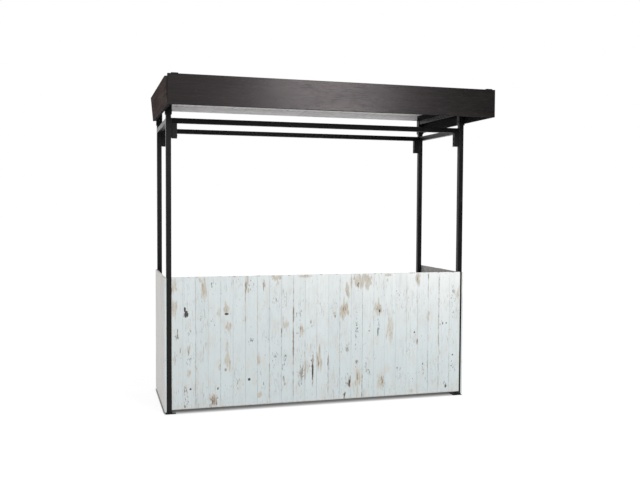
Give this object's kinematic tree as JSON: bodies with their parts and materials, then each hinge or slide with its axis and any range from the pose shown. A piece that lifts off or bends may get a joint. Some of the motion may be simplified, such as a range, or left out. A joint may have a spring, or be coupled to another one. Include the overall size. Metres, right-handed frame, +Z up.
{
  "type": "market stall",
  "caption": "Open market stall: a bolted frame of square black steel tube with whitewashed boards below counter height and a flat roof boxed in dark stained fascia boards.",
  "frame": {"origin": "on the ground, under the middle of the box that encloses the stall", "axes": "+X along the counter, to the right of someone facing it; +Y from the customer's side to the open back; +Z up"},
  "size_m": [2.271, 1.2254, 2.2501],
  "materials": {
    "black_steel": "satin",
    "whitewashed_board": "worn matt",
    "dark_stained_board": "satin",
    "pale_roof_board": "matt"
  },
  "bodies": {
    "root": {"back_left_bracket": "black_steel", "back_left_foot": "black_steel", "back_left_post": "black_steel", "back_left_socket": "black_steel", "back_right_bracket": "black_steel", "back_right_foot": "black_steel", "back_right_post": "black_steel", "back_right_socket": "black_steel", "back_roof_batten": "pale_roof_board", "back_tie_beam": "black_steel", "front_bottom_rail": "black_steel", "front_counter_rail": "black_steel", "front_fascia": "dark_stained_board", "front_left_bracket": "black_steel", "front_left_foot": "black_steel", "front_left_post": "black_steel", "front_left_socket": "black_steel", "front_panel": "whitewashed_board", "front_right_bracket": "black_steel", "front_right_foot": "black_steel", "front_right_post": "black_steel", "front_right_socket": "black_steel", "front_tie_beam": "black_steel", "left_bottom_rail": "black_steel", "left_counter_rail": "black_steel", "left_fascia": "dark_stained_board", "left_fascia_hanger": "black_steel", "left_panel": "whitewashed_board", "left_roof_bearer": "dark_stained_board", "left_roof_rail": "black_steel", "left_tie_beam": "black_steel", "right_bottom_rail": "black_steel", "right_counter_rail": "black_steel", "right_fascia": "dark_stained_board", "right_fascia_hanger": "black_steel", "right_panel": "whitewashed_board", "right_roof_bearer": "dark_stained_board", "right_roof_rail": "black_steel", "right_tie_beam": "black_steel", "roof_deck": "pale_roof_board"}
  },
  "joints": []
}
